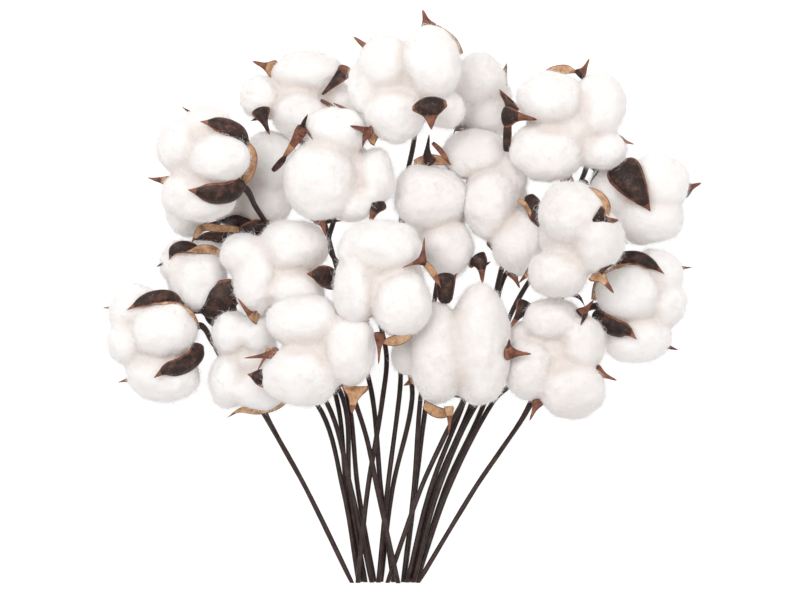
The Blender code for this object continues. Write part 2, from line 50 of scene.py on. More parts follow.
# Every pick: where the middle of its boll is, the direction of its burr's foot, its locks
# (middle, half sizes), and the stem's route down to the cut end. Lock and foot values are
# from the middle of the boll.
PICKS = {
    "01": {
        "at": (-116, 83, 62),
        "foot": (23, -16, -3),
        "locks": [
            ((1, 17, -4), (17, 16, 16)),
            ((8, 0, 10), (19, 17, 18)),
            ((-14, 8, 0), (15, 16, 17)),
            ((-4, -20, 2), (23, 17, 17)),
            ((0, -2, -10), (19, 19, 19)),
        ],
        "route": [
            (-86, 56, 44), (-77, 41, 28), (-70, 22, 10),
            (-56, -18, 2), (-38, -60, 1.6), (-32, -115, 1.6),
        ],
        "end": (-23, 1.6),
    },
    "02": {
        "at": (-101, 66, 21.7),
        "foot": (5, -27, -2),
        "locks": [
            ((-26, -13, -4), (14, 16, 15)),
            ((-13, 18, -6), (16, 16, 14)),
            ((23, 17, 0), (17, 20, 17)),
            ((20, -8, -2), (17, 15, 15)),
            ((0, 0, -6), (20, 20, 14)),
        ],
        "route": [(-90, 26, 8), (-76, 0, 5), (-58, -28, 4.9), (-34, -60, 4.9), (-30, -115, 4.9)],
        "end": (-20.5, 4.9),
    },
    "03": {
        "at": (-62, 123, 25.9),
        "foot": (3, -24, -13),
        "locks": [
            ((7, 14, 2), (23, 13, 16)),
            ((-21, -1, 0), (13, 14, 15)),
            ((3, -11, 4), (17, 15, 17)),
            ((26, -2, -4), (10, 10, 12)),
            ((0, 0, -8), (20, 18, 20)),
        ],
        "route": [
            (-54, 84, 7), (-46, 50, 5), (-38, 20, 5),
            (-26, -20, 5), (-16, -60, 4.9), (-11, -115, 4.9),
        ],
        "end": (-3.5, 4.9),
    },
    "04": {
        "at": (-37, 78, 60),
        "foot": (0, -14, -26),
        "locks": [
            ((-10, -7, 6), (22, 24, 20)),
            ((0, 22, 4), (19, 15, 16)),
            ((23, -4, 0), (12, 17, 15)),
            ((9, -20, 0), (13, 12, 14)),
            ((0, 0, -8), (20, 20, 20)),
        ],
        "route": [
            (-39, 50, 22), (-42, 30, 13), (-20, 5, 11.5),
            (-8, -30, 11.5), (-10, -60, 11.5), (-19, -115, 11.5),
        ],
        "end": (-25, 11.5),
    },
    "05": {
        "at": (5, 129, 65),
        "foot": (4, -16, -28),
        "locks": [
            ((14, 11, 12), (18, 22, 18)),
            ((-13, 10, 6), (16, 18, 17)),
            ((-22, -3, 0), (13, 18, 15)),
            ((-7, -19, 8), (18, 17, 17)),
            ((22, -16, 2), (12, 12, 12)),
            ((0, 0, -8), (22, 22, 22)),
        ],
        "route": [
            (9, 96, 17), (3, 66, 3), (0, 20, 1.6),
            (4, -30, 1.6), (8, -60, 1.6), (-4, -115, 1.6),
        ],
        "end": (-11, 1.6),
    },
    "06": {
        "at": (49, 121, 24.3),
        "foot": (0, -18, -12),
        "locks": [
            ((-1, 10, 2), (17, 17, 17)),
            ((4, -10, 0), (15, 14, 15)),
            ((-12, -2, -2), (14, 15, 15)),
            ((0, 0, -6), (18, 18, 18)),
        ],
        "route": [(46, 88, 4), (38, 50, 1.6), (28, 0, 1.6), (17, -60, 1.6), (10, -115, 1.6)],
        "end": (3, 1.6),
    },
    "07": {
        "at": (101, 104, 50),
        "foot": (3, -20, -24),
        "locks": [
            ((-10, 16, 6), (20, 16, 18)),
            ((19, 12, 2), (15, 21, 17)),
            ((-12, -16, 4), (22, 18, 18)),
            ((19, -14, -2), (17, 13, 15)),
            ((0, 0, -8), (24, 22, 22)),
        ],
        "route": [
            (101, 70, 8), (84, 44, 5), (64, 14, 4.9),
            (58, -8, 4.9), (45, -60, 4.9), (22, -115, 4.9),
        ],
        "end": (6.5, 4.9),
    },
    "08": {
        "at": (146, 62, 29.5),
        "foot": (-25, 16, -4),
        "locks": [
            ((10, 8, 4), (18, 18, 18)),
            ((4, -11, 2), (22, 18, 18)),
            ((-16, 4, 0), (15, 17, 16)),
            ((0, 0, -8), (20, 18, 20)),
        ],
        "route": [
            (112, 76, 14), (106, 60, 5), (94, 32, 1.6), (77, 8, 1.6),
            (66, -14, 1.6), (53, -60, 1.6), (28, -115, 1.6),
        ],
        "end": (10.5, 1.6),
    },
    "09": {
        "at": (22, 51, 38),
        "foot": (4, -18, -20),
        "locks": [
            ((-3, 11, 4), (22, 20, 20)),
            ((7, -20, 0), (16, 19, 17)),
            ((0, -2, -8), (18, 20, 18)),
        ],
        "route": [(25, 20, 9), (20, -10, 5), (13, -60, 4.9), (9, -115, 4.9)],
        "end": (2.5, 4.9),
    },
    "10": {
        "at": (59, 60, 35),
        "foot": (4, -28, -16),
        "locks": [
            ((-14, 28, 2), (20, 15, 17)),
            ((-4, -2, 6), (17, 22, 19)),
            ((15, -25, 6), (19, 20, 18)),
            ((5, 15, 0), (14, 16, 15)),
            ((2, -4, -8), (18, 24, 18)),
        ],
        "route": [(61, 14, 13), (54, -14, 8.4), (40, -60, 8.2), (19, -115, 8.2)],
        "end": (5, 8.2),
    },
    "11": {
        "at": (103, 38, 69),
        "foot": (0, -16, -26),
        "locks": [
            ((0, 13, 4), (20, 20, 19)),
            ((14, -2, 4), (16, 20, 18)),
            ((-8, -22, 0), (19, 15, 16)),
            ((0, 0, -8), (20, 20, 20)),
        ],
        "route": [(101, 8, 20), (90, -16, 9.5), (70, -42, 8.2), (49, -60, 8.2), (24, -115, 8.2)],
        "end": (8.8, 8.2),
    },
    "12": {
        "at": (-123, 13, 24.7),
        "foot": (7, -20, -4),
        "locks": [
            ((2, -1, 4), (18, 19, 18)),
            ((-10, 9, 0), (12, 14, 14)),
            ((7, 14, -2), (14, 12, 13)),
            ((0, 0, -6), (17, 17, 17)),
        ],
        "route": [
            (-106, -20, 12), (-86, -36, 8.6), (-64, -48, 8.2),
            (-44, -62, 8.2), (-29, -115, 8.2),
        ],
        "end": (-16.5, 8.2),
    },
    "13": {
        "at": (-148, -25, 28),
        "foot": (28, 9, -3),
        "locks": [
            ((-10, 18, -2), (17, 17, 16)),
            ((7, 7, 10), (20, 17, 18)),
            ((-14, 0, 0), (14, 15, 16)),
            ((6, -19, 2), (23, 17, 17)),
            ((0, -2, -10), (19, 19, 19)),
        ],
        "route": [
            (-112, -27, 14), (-98, -40, 6), (-76, -52, 4.9),
            (-50, -63, 4.9), (-34, -115, 4.9),
        ],
        "end": (-24.5, 4.9),
    },
    "14": {
        "at": (-92, -36, 36),
        "foot": (10, -29, -6),
        "locks": [
            ((-8, 16, 2), (12, 14, 14)),
            ((7, 16, 4), (12, 12, 14)),
            ((-10, -13, 2), (12, 16, 15)),
            ((8, -18, 6), (17, 13, 15)),
            ((2, 0, -6), (16, 20, 16)),
        ],
        "route": [(-74, -82, 18), (-56, -115, 11.7)],
        "end": (-28.5, 11.5),
    },
    "15": {
        "at": (-46, -30, 62),
        "foot": (16, -22, -20),
        "locks": [
            ((-12, -15, 4), (23, 18, 18)),
            ((17, 1, 6), (16, 22, 18)),
            ((-10, 17, 2), (23, 16, 17)),
            ((0, 0, -8), (21, 21, 21)),
        ],
        "route": [(-25, -66, 20), (-19, -86, 15.2), (-13, -115, 14.8)],
        "end": (-0.5, 14.8),
    },
    "16": {
        "at": (-76, 18, 43),
        "foot": (10, -14, -25),
        "locks": [
            ((-18, 10, 0), (13, 13, 14)),
            ((-10, -4, 4), (13, 24, 16)),
            ((13, 14, 4), (21, 16, 17)),
            ((13, -13, 4), (18, 14, 16)),
            ((0, 0, -8), (19, 19, 19)),
        ],
        "route": [(-59, -12, 10), (-41, -38, 3), (-31, -60, 1.6), (-25, -115, 1.6)],
        "end": (-15, 1.6),
    },
    "17": {
        "at": (-7, 9, 72),
        "foot": (6, -18, -26),
        "locks": [
            ((-4, 21, 4), (25, 17, 18)),
            ((-18, -2, 2), (14, 22, 17)),
            ((9, -11, 8), (18, 20, 18)),
            ((0, 0, -8), (22, 22, 22)),
        ],
        "route": [(0, -26, 22), (1, -45, 10), (0, -60, 8.2), (-7, -115, 8.2)],
        "end": (-12.5, 8.2),
    },
    "18": {
        "at": (37, -27, 53),
        "foot": (2, -28, -18),
        "locks": [
            ((-14, -5, 4), (16, 31, 18)),
            ((10.5, 0, 3), (19.5, 36, 19)),
            ((-28, -5, -8), (14, 14, 14)),
            ((0, -4, -8), (20, 26, 18)),
        ],
        "route": [(34, -70, 15), (27, -84, 11.8), (13, -115, 11.5)],
        "end": (-7, 11.5),
    },
    "19": {
        "at": (145, -4, 27.7),
        "foot": (-28, 0, -3),
        "locks": [
            ((10, 18, -2), (17, 17, 16)),
            ((-7, 8, 10), (20, 17, 18)),
            ((14, 2, 0), (14, 15, 16)),
            ((-2, -18, 2), (21, 16, 17)),
            ((0, -2, -10), (19, 19, 19)),
        ],
        "route": [(107, -9, 17), (92, -24, 7), (72, -48, 4.9), (57, -62, 4.9), (30, -115, 4.9)],
        "end": (10.5, 4.9),
    },
    "20": {
        "at": (93, -33, 45),
        "foot": (-11, -24, -16),
        "locks": [
            ((-2, 21, 4), (17, 13, 16)),
            ((16, 7, 4), (14, 18, 16)),
            ((-14, -8, 4), (16, 19, 17)),
            ((-22, 11, -4), (9, 9, 11)),
            ((11, -20, 4), (20, 18, 18)),
            ((0, 0, -8), (20, 20, 20)),
        ],
        "route": [(74, -72, 28), (61, -92, 15), (45.5, -115, 11.7)],
        "end": (11.5, 11.5),
    },
}

# ---------------------------------------------------------------- the valves of each burr

UP = (0, 0, 1)
HORN_FROM = 0.84  # share of a valve's length at which its horn starts
NO_HORN = 2.0


def hugging(*points, wide):
    """A valve that follows the cotton past each point and lifts off it to the last one."""
    return {"points": points, "wide": wide, "hugs": True}


def free(*points, shape="leaf", wide=1.0, face=UP, inside=False, horn=HORN_FROM):
    """A valve along the points, clear of the cotton, whose broad outer side looks to face.

    With inside set, its tan inner side looks there instead.
    """
    return {
        "points": points, "shape": shape, "wide": wide, "face": face,
        "inside": inside, "horn": horn, "hugs": False,
    }


# Points are from the middle of the boll, in millimetres, and the last one is the tip.
VALVES = {
    "01": [
        free(
            (25, 9, 8), (20, 16.5, 12), (10, 20.5, 15), (-1.5, 22.5, 18), wide=0.54,
            face=(0.3, 0.4, 1),
        ),
        free(
            (23, -14, 10), (16, -19, 16), (7, -20, 21), (-8.5, -18, 24), wide=0.7,
            face=(0.1, -0.5, 1),
        ),
        free(
            (22, -15, 2), (28, -6, 8), (28.5, 5, 9), (18, 16, 13), wide=0.27, face=(0.3, 0, 1),
            inside=True, horn=NO_HORN,
        ),
        hugging((4, 18, -20), (-13.5, 32, -6), wide=0.45),
        hugging((-6, -14, -20), (-33.5, -10, -4), wide=0.6),
    ],
    "02": [
        free(
            (6, -23.5, 10), (-6, -23, 13), (-18, -23, 14), (-24, -33, 16), wide=0.24,
            face=(0, -0.2, 1), inside=True,
        ),
        free(
            (6, -26, 6), (-6, -28, 9), (-16, -28, 10), (-23, -30, 12), wide=0.4,
            face=(0, -0.6, 1),
        ),
        free((6, -26, 10), (14, -24, 13), (23, -18, 13), wide=0.62, face=(0, -0.4, 1)),
        hugging((-34, 4, -4), (-32, 14, -4), wide=0.5),
        hugging((6, 6, -19), (6, 34, -10), wide=0.7),
    ],
    "03": [
        free(
            (-13, 16, 4), (-18, 17.5, 8), (-26, 20.5, 10), shape="thorn", wide=0.8, inside=True,
            horn=0.4,
        ),
        free(
            (16, 0, 17), (24, 8, 15), (32, 17, 11), shape="fishtail", wide=0.98,
            face=(-0.4, 0.4, 1), horn=0.72,
        ),
        free((-21, -9, 14), (-19.5, -14, 17), (-15.5, -24, 19), shape="thorn", wide=0.85),
        free((-18, -14, 14), (-22, -14, 14), (-27, -15.5, 14), shape="horn"),
        free((15, -3, 13), (23, -7.5, 14), (32, -11, 14), wide=0.13, horn=0),
    ],
    "04": [
        free(
            (-36, 1, 2), (-30, 8.5, 7), (-24, 17, 11), (-19, 26, 13), shape="fishtail",
            wide=0.6, face=(-0.2, 0.3, 1), inside=True, horn=0.5,
        ),
        free((-38, -1, 2), (-34, 3, 5), (-29, 9, 9), wide=0.2),
        free((-20, 25, 12), (-19, 28, 13), (-17, 32, 14), shape="horn"),
        free((-21, 20, 12), (-18.5, 22.5, 14), (-14, 17, 15), shape="thorn", wide=0.35, horn=0),
        free(
            (25, 18, 14), (18, 22, 18), (8, 25, 20), shape="thorn", wide=0.85, inside=True,
            horn=0.45,
        ),
        free((18.5, 20, 18), (20.5, 24, 18), (21, 29.5, 17), shape="thorn", wide=0.4, horn=0),
        free((18.5, 20, 18), (16.5, 17, 20), (15.5, 12, 22), shape="thorn", wide=0.4, horn=0),
        free((-24, -20, 0), (-18, -27, 4), (-10, -33, 7), wide=0.15, horn=0),
        free((-11, -29, 6), (-8.5, -33, 8), (-6.5, -40, 9), shape="thorn", wide=0.6, horn=0.2),
        free((-8, -32, 6), (-3, -31, 7), (3, -31, 6), shape="horn"),
        free(
            (24, -19, 2), (22.5, -24, 5), (19.5, -33, 8), shape="thorn", wide=1.05,
            face=(0.3, -0.3, 1), horn=0.5,
        ),
    ],
    "05": [
        free(
            (32, 17, 0), (27, 25, 3), (19, 31, 5), (13, 34, 6), (9, 42, 9), wide=0.26,
            face=(0.3, 0.3, 1), inside=True,
        ),
        free((13, 31, 6), (11.5, 35, 7), (9, 43, 9), shape="thorn", wide=0.8, horn=0),
        free(
            (-15, 12, 7), (-21, 18, 9), (-32, 27, 9), shape="thorn", wide=0.95, inside=True,
            horn=0.45,
        ),
        free(
            (12.5, -12, 32), (13, -15.5, 34), (13.5, -20, 35), (14, -29, 34), shape="hood",
            wide=0.95, face=(0, -0.2, 1), horn=0.5,
        ),
        free((-34, -17.5, 2), (-44, -12, 2), shape="horn", horn=0),
    ],
    "06": [
        free((19, -6, 6), (16, 0, 10), (11, 5.5, 14), shape="thorn", wide=0.55, horn=0.5),
        hugging((-18, 6, -10), (-22, 16, -4), wide=0.5),
        hugging((-14, -16, 4), (-16, -22, 8), wide=0.5),
        hugging((14, 12, -14), (16, 22, -6), wide=0.5),
    ],
    "07": [
        free(
            (-16, 27, 0), (-9, 32, 1), (-1, 33.5, 2), (7, 31, 4), wide=0.34, face=(0, 0.4, 1),
            inside=True, horn=NO_HORN,
        ),
        free((6, 30, 4), (9, 33, 5), (12.5, 40, 7), shape="thorn", wide=0.55, horn=0.2),
        free(
            (-37, -15, 4), (-36.5, -8, 7), (-36, 0, 9), (-34, 7, 12), wide=0.26,
            face=(-0.3, 0, 1), horn=NO_HORN,
        ),
        free(
            (-38, 5, 10), (-31, 5, 15), (-19, 3, 20), shape="thorn", wide=0.95,
            face=(-0.3, 0, 1), horn=0.45,
        ),
        free((-33, 7, 10), (-35.5, 12, 8), (-41, 20, 6), shape="thorn", wide=0.65),
        free((30, -8, 0), (33, -9, 1), (39.5, -11, 2), shape="thorn", wide=0.4, horn=0),
        free((0, -30, -4), (-1, -37.5, 1), wide=0.4, horn=0),
        free((7, -33, -6), (10, -39, -4), wide=0.45),
    ],
    "08": [
        free((-14, 19, 17), (-8, 9, 22), (-2, 0, 25), (4, -9, 25), shape="triangle", wide=1.06),
        free((25, 4, -2), (28.5, 5.5, 0), (36, 8.5, 3), shape="thorn", wide=0.75, horn=0.4),
        hugging((-16, -14, -6), (-8, -28, -4), wide=0.4),
        hugging((-4, 4, -26), (18, -6, -18), wide=0.6),
    ],
    "09": [
        free(
            (-13, 31, 4), (-4, 33, 9), (4, 32, 9), (11, 30, 8), wide=0.32, face=(0, 0.3, 1),
            inside=True, horn=NO_HORN,
        ),
        free((-3, 31, 8), (-5, 36, 11), (-4, 48, 14), shape="thorn", wide=0.6),
        free((-2, 43, 14), (3, 38, 13), (9, 29, 12), wide=0.16, horn=0),
        free((24, -26, 2), (27, -30, 5), (28, -41, 7), shape="thorn", wide=0.95, horn=0.5),
        free((26, -30, 6), (29, -30, 7), (33, -28, 7), shape="horn"),
        hugging((-22, -8, -8), (-28, -12, 0), wide=0.5),
    ],
    "10": [
        free((8, 22, 4), (6.5, 28, 6), (6, 36, 7), wide=0.32),
        free((19, 2, 14), (22, -5, 18), (23, -10, 19), (24, -18, 19), wide=0.52, face=(0.3, 0, 1)),
        free((12, 0, 20), (16, -3, 22), (21, -12, 21), wide=0.15, inside=True, horn=NO_HORN),
        free((9, -42, 2), (10, -45, 3), (13.5, -53, 4), shape="thorn", wide=0.6, horn=0.2),
    ],
    "11": [
        free(
            (6, 27, 8), (13, 24, 12), (18.5, 18, 14), (20.5, 9, 15), wide=0.38,
            face=(0.3, 0.3, 1), inside=True, horn=NO_HORN,
        ),
        free(
            (12.5, 12, 17), (17.5, 9, 17), (26.5, 9, 16), shape="thorn", wide=1.05,
            face=(0.2, 0, 1), horn=0.5,
        ),
        free(
            (12, -21, 6), (16.5, -24.5, 9), (24, -34, 10), shape="thorn", wide=0.85,
            face=(0, -0.2, 1), inside=True, horn=0.6,
        ),
        free((16, -22, 10), (19, -19, 10), (24, -17, 9), shape="horn"),
        hugging((-26, -22, -6), (-32, -28, 0), wide=0.4),
    ],
    "12": [
        free((2, 17, 10), (-6, 19, 13), (-12, 17, 14), (-15, 11, 15), wide=0.38, face=(0, 0.4, 1)),
        free((17, 14, 9), (8, 17.5, 12), (-5, 16, 15), wide=0.28, inside=True, horn=NO_HORN),
        free((-13, 8, 7), (-17, 9.5, 8), (-23, 7, 8), shape="thorn", wide=0.42),
        free(
            (5, -19, 6), (15, -14, 13), (24, -9, 14), (34.5, -11, 10), shape="blade", wide=1.1,
            face=(0, -0.2, 1),
        ),
        hugging((8, 4, -22), (6, 20, -12), wide=0.6),
    ],
    "13": [
        free(
            (18, 22, 9), (11, 26.5, 12), (2, 26.5, 14), (-6, 24, 16), (-15, 19, 17), wide=0.44,
            face=(0, 0.4, 1),
        ),
        free(
            (27, 8, 6), (22, 17, 12), (13, 22, 16), (1, 23, 18), wide=0.24, face=(0.2, 0.1, 1),
            inside=True, horn=NO_HORN,
        ),
        free(
            (27.5, -2, 9), (25.5, -9, 13), (17.5, -14.5, 18), (9, -16.5, 22), (1.5, -21.5, 24),
            wide=0.58, face=(0.2, -0.4, 1),
        ),
        hugging((-4, 20, -18), (-30.5, 20, -6), wide=0.6),
        hugging((4, -16, -22), (-21.5, -24.5, -8), wide=0.6),
    ],
    "14": [
        free(
            (8, 25, 16), (3, 28, 23), (-4, 37, 26), shape="thorn", wide=0.6,
            face=(-0.2, 0.2, 1), inside=True, horn=0.35,
        ),
        free(
            (28, -20, 7), (19, -27, 8), (8, -30, 9), (-3, -30, 10), (-11, -34.5, 9), wide=0.26,
            face=(0, -0.4, 1), inside=True,
        ),
        hugging((-20, 2, -8), (-20, 8, -6), wide=0.4),
    ],
    "15": [
        free(
            (-26, -1, 5), (-31, -2.5, 8), (-46, -4.5, 10), shape="thorn", wide=0.5,
            face=(-0.2, 0, 1), horn=0,
        ),
        free(
            (-30, 1, 8), (-34, -5, 9), (-38, -12, 9), shape="thorn", wide=0.34, inside=True,
            horn=0.3,
        ),
        free((-24, -20, 5), (-32, -17, 7), (-44, -14, 7), wide=0.55),
        free(
            (20, -20, 6), (19.5, -25, 9), (18, -37, 11), shape="thorn", wide=1.25,
            face=(0, -0.3, 1), inside=True, horn=0.7,
        ),
        hugging((26, 12, -14), (28, 18, -8), wide=0.5),
    ],
    "16": [
        free((38, -9, 8), (34, -5, 14), (29, -3, 19), (21, -2.5, 20), wide=0.64),
        free((2, -24, 2), (1.5, -27, 5), (1, -33, 10), shape="thorn", wide=0.5, horn=0.3),
        hugging((-14, 14, -18), (-20, 22, -14), wide=0.5),
    ],
    "17": [
        free((22, 15, 16), (18, 13.5, 18), (9, 10, 20), shape="thorn", wide=0.4, horn=0),
        free((20, 12, 16), (21, 17, 17), (22, 28, 18), shape="thorn", wide=0.42, horn=0.1),
        free((19, 15, 16), (25, 10, 15), (32, -2, 13), wide=0.2, inside=True, horn=0.6),
        free(
            (14, -29, 9), (8, -32, 11), (1, -33.5, 12), (-5, -34, 12), wide=0.32,
            face=(0, -0.3, 1), inside=True, horn=NO_HORN,
        ),
        free((-4.5, -28, 13), (-4.5, -33, 13.5), (-5, -47, 13), shape="thorn", wide=0.48, horn=0),
        hugging((-24, 8, -22), (-30, 14, -16), wide=0.6),
        hugging((18, 14, -22), (22, 22, -18), wide=0.6),
    ],
    "18": [
        free(
            (-9.5, 42, 12), (-9.5, 37, 14), (-9.5, 32, 14), (-9.5, 25, 13), shape="box",
            horn=NO_HORN,
        ),
        free((-12, 37, 12), (-16.5, 43, 13), shape="horn", horn=0),
        free((-7, 37, 12), (-2.5, 43, 13), shape="horn", horn=0),
        free(
            (-22, -35, 9), (-15, -39.5, 11), (-9, -40, 12), (-4, -37, 12), wide=0.34,
            face=(0, -0.3, 1), inside=True, horn=NO_HORN,
        ),
        free(
            (-7.5, -36, 13), (-7, -42, 14), (-7.5, -54, 14), shape="thorn", wide=0.42,
            inside=True, horn=0.3,
        ),
        free((27, -4, 14), (31, -4.5, 17), (41.5, -5, 18), shape="thorn", wide=0.7, horn=0),
        free((28, -2, 16), (28.5, 4, 16), shape="horn"),
        hugging((-26, -22, -14), (-34, -24, -8), wide=0.5),
    ],
    "19": [
        free(
            (-18, 24, 8), (-11, 28.5, 12), (-2, 29, 14), (6, 25.5, 15), (14, 19.5, 17),
            wide=0.44, face=(0, 0.4, 1),
        ),
        free(
            (-28, 4, 6), (-25, 15, 11), (-17, 23, 15), (-6, 26, 18), wide=0.24,
            face=(-0.2, 0.1, 1), inside=True, horn=NO_HORN,
        ),
        free(
            (-27, -4, 10), (-22, -9, 15), (-15, -12.5, 19), (-9, -14, 22), (-3, -19.5, 24),
            wide=0.58, face=(-0.2, -0.4, 1),
        ),
        hugging((4, 20, -18), (31.5, 23.5, -4), wide=0.6),
        hugging((-4, -16, -22), (23.5, -26, -5), wide=0.6),
    ],
    "20": [
        free((-4, 35.5, 5), (6, 37.5, 8), (14, 35, 10), (18, 29, 12), wide=0.16, horn=NO_HORN),
        free((15, 24, 11), (18, 27, 12), (23, 33, 14), shape="thorn", wide=0.6, horn=0.1),
        free((18, 26, 12), (17, 22, 14), (15, 18, 17), shape="horn"),
        free((24, -9, 6), (27.5, -11, 8), (37, -15, 9), shape="thorn", wide=0.62, horn=0),
        free((-9, -26, 4), (-11, -30, 6), (-15, -39, 8), shape="thorn", wide=0.6, horn=0),
        free((-17, 31, 2), (-20, 26, 5), (-28, 15, 8), shape="thorn", wide=0.8, horn=0.6),
    ],
}

VOXEL = 0.85
SMOOTHINGS = 26
FIBRES_PER_BOLL = 8000
LOCK_BLEND = 9.0  # a higher power joins the locks with sharper grooves
LEAST_REACH = 9.0
LOWEST = 0.05 - CENTRING[2]  # just above the floor
SQUEEZE = 2.0  # what lies lower than this above the floor is squeezed


# ---------------------------------------------------------------- helpers


def unit(v):
    v = np.asarray(v, float)
    return v / np.maximum(np.linalg.norm(v, axis=-1, keepdims=True), 1e-9)


def hashed(i, j, k, seed):
    """A repeatable scatter of numbers in -1..1 over the corners of a grid."""
    n = (i * 374761393 + j * 668265263 + k * 1274126177 + seed * 974711) & 0x7FFFFFFF
    n = ((n ^ (n >> 13)) * 1103515245) & 0x7FFFFFFF
    n = ((n ^ (n >> 16)) * 214013) & 0x7FFFFFFF
    return ((n >> 7) & 0xFFFF) / 32767.5 - 1.0


def noise(points, size, seed):
    """Smooth noise in -1..1 at each point, with lumps of the given size."""
    p = points / size + 100.0
    cell = np.floor(p).astype(np.int64)
    f = p - cell
    f = f * f * f * (f * (f * 6 - 15) + 10)
    total = np.zeros(len(points))
    for a in (0, 1):
        for b in (0, 1):
            for c in (0, 1):
                w = (f[:, 0] if a else 1 - f[:, 0]) * (f[:, 1] if b else 1 - f[:, 1])
                w = w * (f[:, 2] if c else 1 - f[:, 2])
                total += w * hashed(cell[:, 0] + a, cell[:, 1] + b, cell[:, 2] + c, seed)
    return total


def make_object(name, verts, faces, materials, face_slots=None, smooth=True):
    """A mesh object from points in millimetres."""
    mesh = bpy.data.meshes.new(name)
    verts = (np.asarray(verts, float) + CENTRING) * MM
    faces = np.asarray(faces)
    count, corners = faces.shape
    mesh.vertices.add(len(verts))
    mesh.vertices.foreach_set("co", verts.ravel())
    mesh.loops.add(count * corners)
    mesh.loops.foreach_set("vertex_index", faces.ravel())
    mesh.polygons.add(count)
    mesh.polygons.foreach_set("loop_start", np.arange(0, count * corners, corners))
    mesh.polygons.foreach_set("use_smooth", np.full(count, smooth))
    for m in materials:
        mesh.materials.append(m)
    if face_slots is not None:
        mesh.polygons.foreach_set("material_index", face_slots)
    mesh.update(calc_edges=True)
    mesh.validate()
    made = bpy.data.objects.new(name, mesh)
    bpy.context.scene.collection.objects.link(made)
    return made


def settled(points):
    """The points, with those near or under the floor squeezed up onto it."""
    over = points[:, 2] - LOWEST - SQUEEZE
    squeezed = SQUEEZE * (np.exp(np.minimum(over, 0) / SQUEEZE) - 1)
    points[:, 2] = LOWEST + SQUEEZE + np.where(over < 0, squeezed, over)
    return points


def smooth_route(points, steps):
    """A smooth curve through the points, with this many steps between each two."""
    padded = [2 * points[0] - points[1], *points, 2 * points[-1] - points[-2]]
    found = [points[0]]
    for a, b, c, d in zip(padded, padded[1:], padded[2:], padded[3:]):
        span = np.linalg.norm(c - b)
        into = (c - a) * span / max(np.linalg.norm(c - a), 1e-6)
        out = (d - b) * span / max(np.linalg.norm(d - b), 1e-6)
        for step in range(1, steps + 1):
            t = step / steps
            found.append(
                (2 * t**3 - 3 * t**2 + 1) * b
                + (t**3 - 2 * t**2 + t) * into
                + (3 * t**2 - 2 * t**3) * c
                + (t**3 - t**2) * out
            )
    return np.array(found)


# ---------------------------------------------------------------- materials


def new_material(name):
    made = bpy.data.materials.new(name)
    made.use_nodes = True
    tree = made.node_tree
    return made, tree, tree.nodes["Principled BSDF"]


def noise_node(tree, scale, detail=3.0, roughness=0.5, stretch=None):
    coords = tree.nodes.new("ShaderNodeTexCoord")
    made = tree.nodes.new("ShaderNodeTexNoise")
    made.inputs["Scale"].default_value = scale
    made.inputs["Detail"].default_value = detail
    made.inputs["Roughness"].default_value = roughness
    if stretch:
        mapping = tree.nodes.new("ShaderNodeMapping")
        mapping.inputs["Scale"].default_value = stretch
        tree.links.new(coords.outputs["Object"], mapping.inputs["Vector"])
        tree.links.new(mapping.outputs["Vector"], made.inputs["Vector"])
    else:
        tree.links.new(coords.outputs["Object"], made.inputs["Vector"])
    return made


def ramp_node(tree, source, stops):
    ramp = tree.nodes.new("ShaderNodeValToRGB")
    elements = ramp.color_ramp.elements
    while len(elements) < len(stops):
        elements.new(0.5)
    for element, (place, colour) in zip(elements, stops):
        element.position = place
        element.color = (*colour, 1.0)
    tree.links.new(source, ramp.inputs["Fac"])
    return ramp


def bump_node(tree, source, strength, distance, previous=None):
    bump = tree.nodes.new("ShaderNodeBump")
    bump.inputs["Strength"].default_value = strength
    bump.inputs["Distance"].default_value = distance
    tree.links.new(source, bump.inputs["Height"])
    if previous:
        tree.links.new(previous.outputs["Normal"], bump.inputs["Normal"])
    return bump


# Painted shade: cotton is coloured a little darker and warmer deep in the grooves between its
# locks, where shade falls.
GROOVE_SHADE_TINT = (0.69, 0.60, 0.55)


def cotton_material(name, light, dark):
    made, tree, shader = new_material(name)
    soft = noise_node(tree, 120.0, 3.0, 0.55)
    tint = ramp_node(tree, soft.outputs["Fac"], [(0.30, dark), (0.62, light)])
    # painted shade: how deep each point lies in a groove darkens the cotton's colour towards the
    # groove tint
    groove_shade = tree.nodes.new("ShaderNodeAttribute")
    groove_shade.attribute_name = "groove_shade"
    mix = tree.nodes.new("ShaderNodeMix")
    mix.data_type = "RGBA"
    mix.inputs["B"].default_value = (*GROOVE_SHADE_TINT, 1.0)
    tree.links.new(groove_shade.outputs["Fac"], mix.inputs["Factor"])
    tree.links.new(tint.outputs["Color"], mix.inputs["A"])
    tree.links.new(mix.outputs["Result"], shader.inputs["Base Color"])
    fine = noise_node(tree, 900.0, 4.0, 0.7)
    clump = noise_node(tree, 260.0, 3.0, 0.6)
    first = bump_node(tree, clump.outputs["Fac"], 0.22, 0.0010)
    second = bump_node(tree, fine.outputs["Fac"], 0.35, 0.0004, first)
    tree.links.new(second.outputs["Normal"], shader.inputs["Normal"])
    shader.inputs["Roughness"].default_value = 1.0
    shader.inputs["Specular IOR Level"].default_value = 0.1
    shader.inputs["Subsurface Weight"].default_value = 0.3
    shader.inputs["Subsurface Radius"].default_value = (1.0, 0.93, 0.88)
    shader.inputs["Subsurface Scale"].default_value = 0.004
    shader.inputs["Sheen Weight"].default_value = 0.25
    shader.inputs["Sheen Roughness"].default_value = 0.6
    return made


